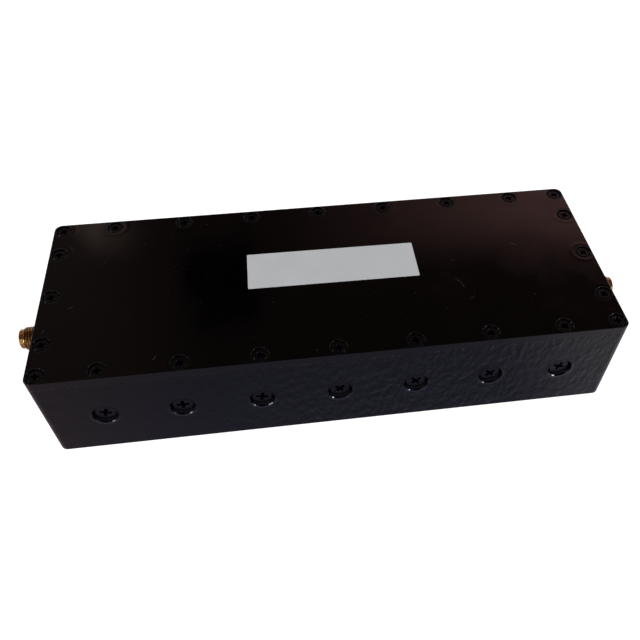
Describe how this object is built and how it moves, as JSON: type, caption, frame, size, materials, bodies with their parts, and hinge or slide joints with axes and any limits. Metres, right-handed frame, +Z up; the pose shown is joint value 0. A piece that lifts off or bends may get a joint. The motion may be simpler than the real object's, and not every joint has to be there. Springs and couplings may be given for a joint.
{
  "type": "rf bandpass filter",
  "caption": "Long black milled box with a screwed cover, recessed screws along its front, tuning screws with lock nuts along its back and a coaxial jack at each end.",
  "frame": {"origin": "centre of the base, on the plane that the filter rests on", "axes": "+X from the input jack to the output jack, +Y towards the wall with the tuning screws, +Z up"},
  "size_m": [0.1666, 0.0631, 0.0286],
  "materials": {
    "black_paint": "aluminium under satin black paint",
    "cover_paint": "aluminium under gloss black paint",
    "black_screws": "satin black oxide",
    "label": "matte white film",
    "silver_plate": "satin silver plate on brass",
    "brass": "machined brass",
    "gold_plate": "gold plate on brass",
    "ptfe": "matte white fluoropolymer",
    "steel": "satin stainless steel"
  },
  "bodies": {
    "filter": {"housing": "black_paint", "cover": "cover_paint", "cover_screws": "black_screws", "label": "label", "rod_screws": "black_screws", "resonator_1": "silver_plate", "resonator_2": "silver_plate", "resonator_3": "silver_plate", "resonator_4": "silver_plate", "resonator_5": "silver_plate", "resonator_6": "silver_plate", "resonator_7": "silver_plate", "lock_nut_1": "brass", "lock_nut_2": "brass", "lock_nut_3": "brass", "lock_nut_4": "brass", "lock_nut_5": "brass", "lock_nut_6": "brass", "lock_nut_7": "brass", "input_jack": "gold_plate", "input_insulator": "ptfe", "input_contact": "gold_plate", "input_tap_wire": "silver_plate", "input_flange_screws": "steel", "output_jack": "gold_plate", "output_insulator": "ptfe", "output_contact": "gold_plate", "output_tap_wire": "silver_plate", "output_flange_screws": "steel"},
    "tuner_1": {"tuning_screw_1": "brass"},
    "tuner_2": {"tuning_screw_2": "brass"},
    "tuner_3": {"tuning_screw_3": "brass"},
    "tuner_4": {"tuning_screw_4": "brass"},
    "tuner_5": {"tuning_screw_5": "brass"},
    "tuner_6": {"tuning_screw_6": "brass"},
    "tuner_7": {"tuning_screw_7": "brass"}
  },
  "joints": [
    {"name": "tune_1", "type": "slide", "parent": "filter", "child": "tuner_1", "axis": [0, -1, 0], "range_m": [-0.003, 0.0025]},
    {"name": "tune_2", "type": "slide", "parent": "filter", "child": "tuner_2", "axis": [0, -1, 0], "range_m": [-0.003, 0.0025]},
    {"name": "tune_3", "type": "slide", "parent": "filter", "child": "tuner_3", "axis": [0, -1, 0], "range_m": [-0.003, 0.0025]},
    {"name": "tune_4", "type": "slide", "parent": "filter", "child": "tuner_4", "axis": [0, -1, 0], "range_m": [-0.003, 0.0025]},
    {"name": "tune_5", "type": "slide", "parent": "filter", "child": "tuner_5", "axis": [0, -1, 0], "range_m": [-0.003, 0.0025]},
    {"name": "tune_6", "type": "slide", "parent": "filter", "child": "tuner_6", "axis": [0, -1, 0], "range_m": [-0.003, 0.0025]},
    {"name": "tune_7", "type": "slide", "parent": "filter", "child": "tuner_7", "axis": [0, -1, 0], "range_m": [-0.003, 0.0025]}
  ]
}
